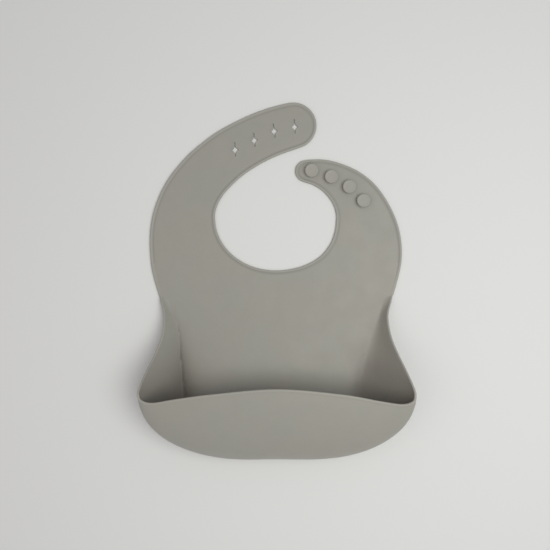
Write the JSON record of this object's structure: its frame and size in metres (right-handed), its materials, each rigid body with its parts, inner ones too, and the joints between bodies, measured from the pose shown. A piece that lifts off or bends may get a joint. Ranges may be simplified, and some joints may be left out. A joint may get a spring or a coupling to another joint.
{
  "type": "silicone bib",
  "caption": "Moulded baby feeding bib lying flat on its back: standing catcher pocket, round neck opening, long strap with star holes and short strap with studs.",
  "frame": {"origin": "centre of the whole box, on the back face that the bib lies on", "axes": "+X to the viewer's right, the side of the stud strap; +Y up the chest to the neck; +Z out of the front, the way the pocket stands"},
  "size_m": [0.2207, 0.2993, 0.0486],
  "materials": {
    "sheet": "matt sage grey moulded silicone",
    "beads": "matt sage grey moulded silicone, a little lighter where thick",
    "studs": "matt sage grey moulded silicone, fine grain on top"
  },
  "bodies": {
    "apron": {"apron_panel": "sheet", "apron_left_rim": "beads", "apron_right_rim": "beads", "neck_fold_web": "sheet", "pocket_floor": "sheet", "pocket_bend_web": "sheet", "left_gusset": "sheet", "left_gusset_rim": "beads", "right_gusset": "sheet", "right_gusset_rim": "beads"},
    "pocket_wall": {"pocket_front": "sheet", "pocket_lip": "beads"},
    "yoke": {"yoke_panel": "sheet", "yoke_left_rim": "beads", "yoke_right_rim": "beads", "neck_rim": "beads", "hole_shoulder_web": "sheet", "stud_shoulder_web": "sheet"},
    "hole_strap": {"hole_strap_panel": "sheet", "hole_strap_outer_rim": "beads", "hole_strap_inner_rim": "beads", "hole_tip_web": "sheet"},
    "hole_tip": {"hole_tip_panel": "sheet", "hole_tip_rim": "beads"},
    "stud_strap": {"stud_strap_panel": "sheet", "stud_strap_rim": "beads", "stud_1": "studs", "stud_2": "studs", "stud_3": "studs", "stud_4": "studs"}
  },
  "joints": [
    {"name": "pocket_press", "type": "hinge", "parent": "apron", "child": "pocket_wall", "pos_m": [0, -0.1495, 0.009], "axis": [1, 0, 0], "range_deg": [-25, 0], "stiffness_Nm_per_rad": 0.06, "springref_deg": 17.19, "deforming": ["pocket_bend_web", "left_gusset", "left_gusset_rim", "right_gusset", "right_gusset_rim"]},
    {"name": "neck_fold", "type": "hinge", "parent": "apron", "child": "yoke", "pos_m": [0, 0.0003, 0.0016], "axis": [1, 0, 0], "range_deg": [-90, 120], "stiffness_Nm_per_rad": 0.006, "deforming": ["neck_fold_web"]},
    {"name": "hole_shoulder_flex", "type": "hinge", "parent": "yoke", "child": "hole_strap", "pos_m": [-0.0806, 0.0483, 0.0011], "axis": [1, 0, 0], "range_deg": [-50, 10], "stiffness_Nm_per_rad": 0.003, "deforming": ["hole_shoulder_web"]},
    {"name": "hole_tip_flex", "type": "hinge", "parent": "hole_strap", "child": "hole_tip", "pos_m": [-0.0482, 0.1008, 0.0011], "axis": [0.7071, -0.7071, 0], "range_deg": [-60, 15], "stiffness_Nm_per_rad": 0.002, "deforming": ["hole_tip_web"]},
    {"name": "stud_shoulder_flex", "type": "hinge", "parent": "yoke", "child": "stud_strap", "pos_m": [0.0774, 0.0483, 0.0011], "axis": [1, 0, 0], "range_deg": [-50, 10], "stiffness_Nm_per_rad": 0.002, "deforming": ["stud_shoulder_web"]}
  ]
}
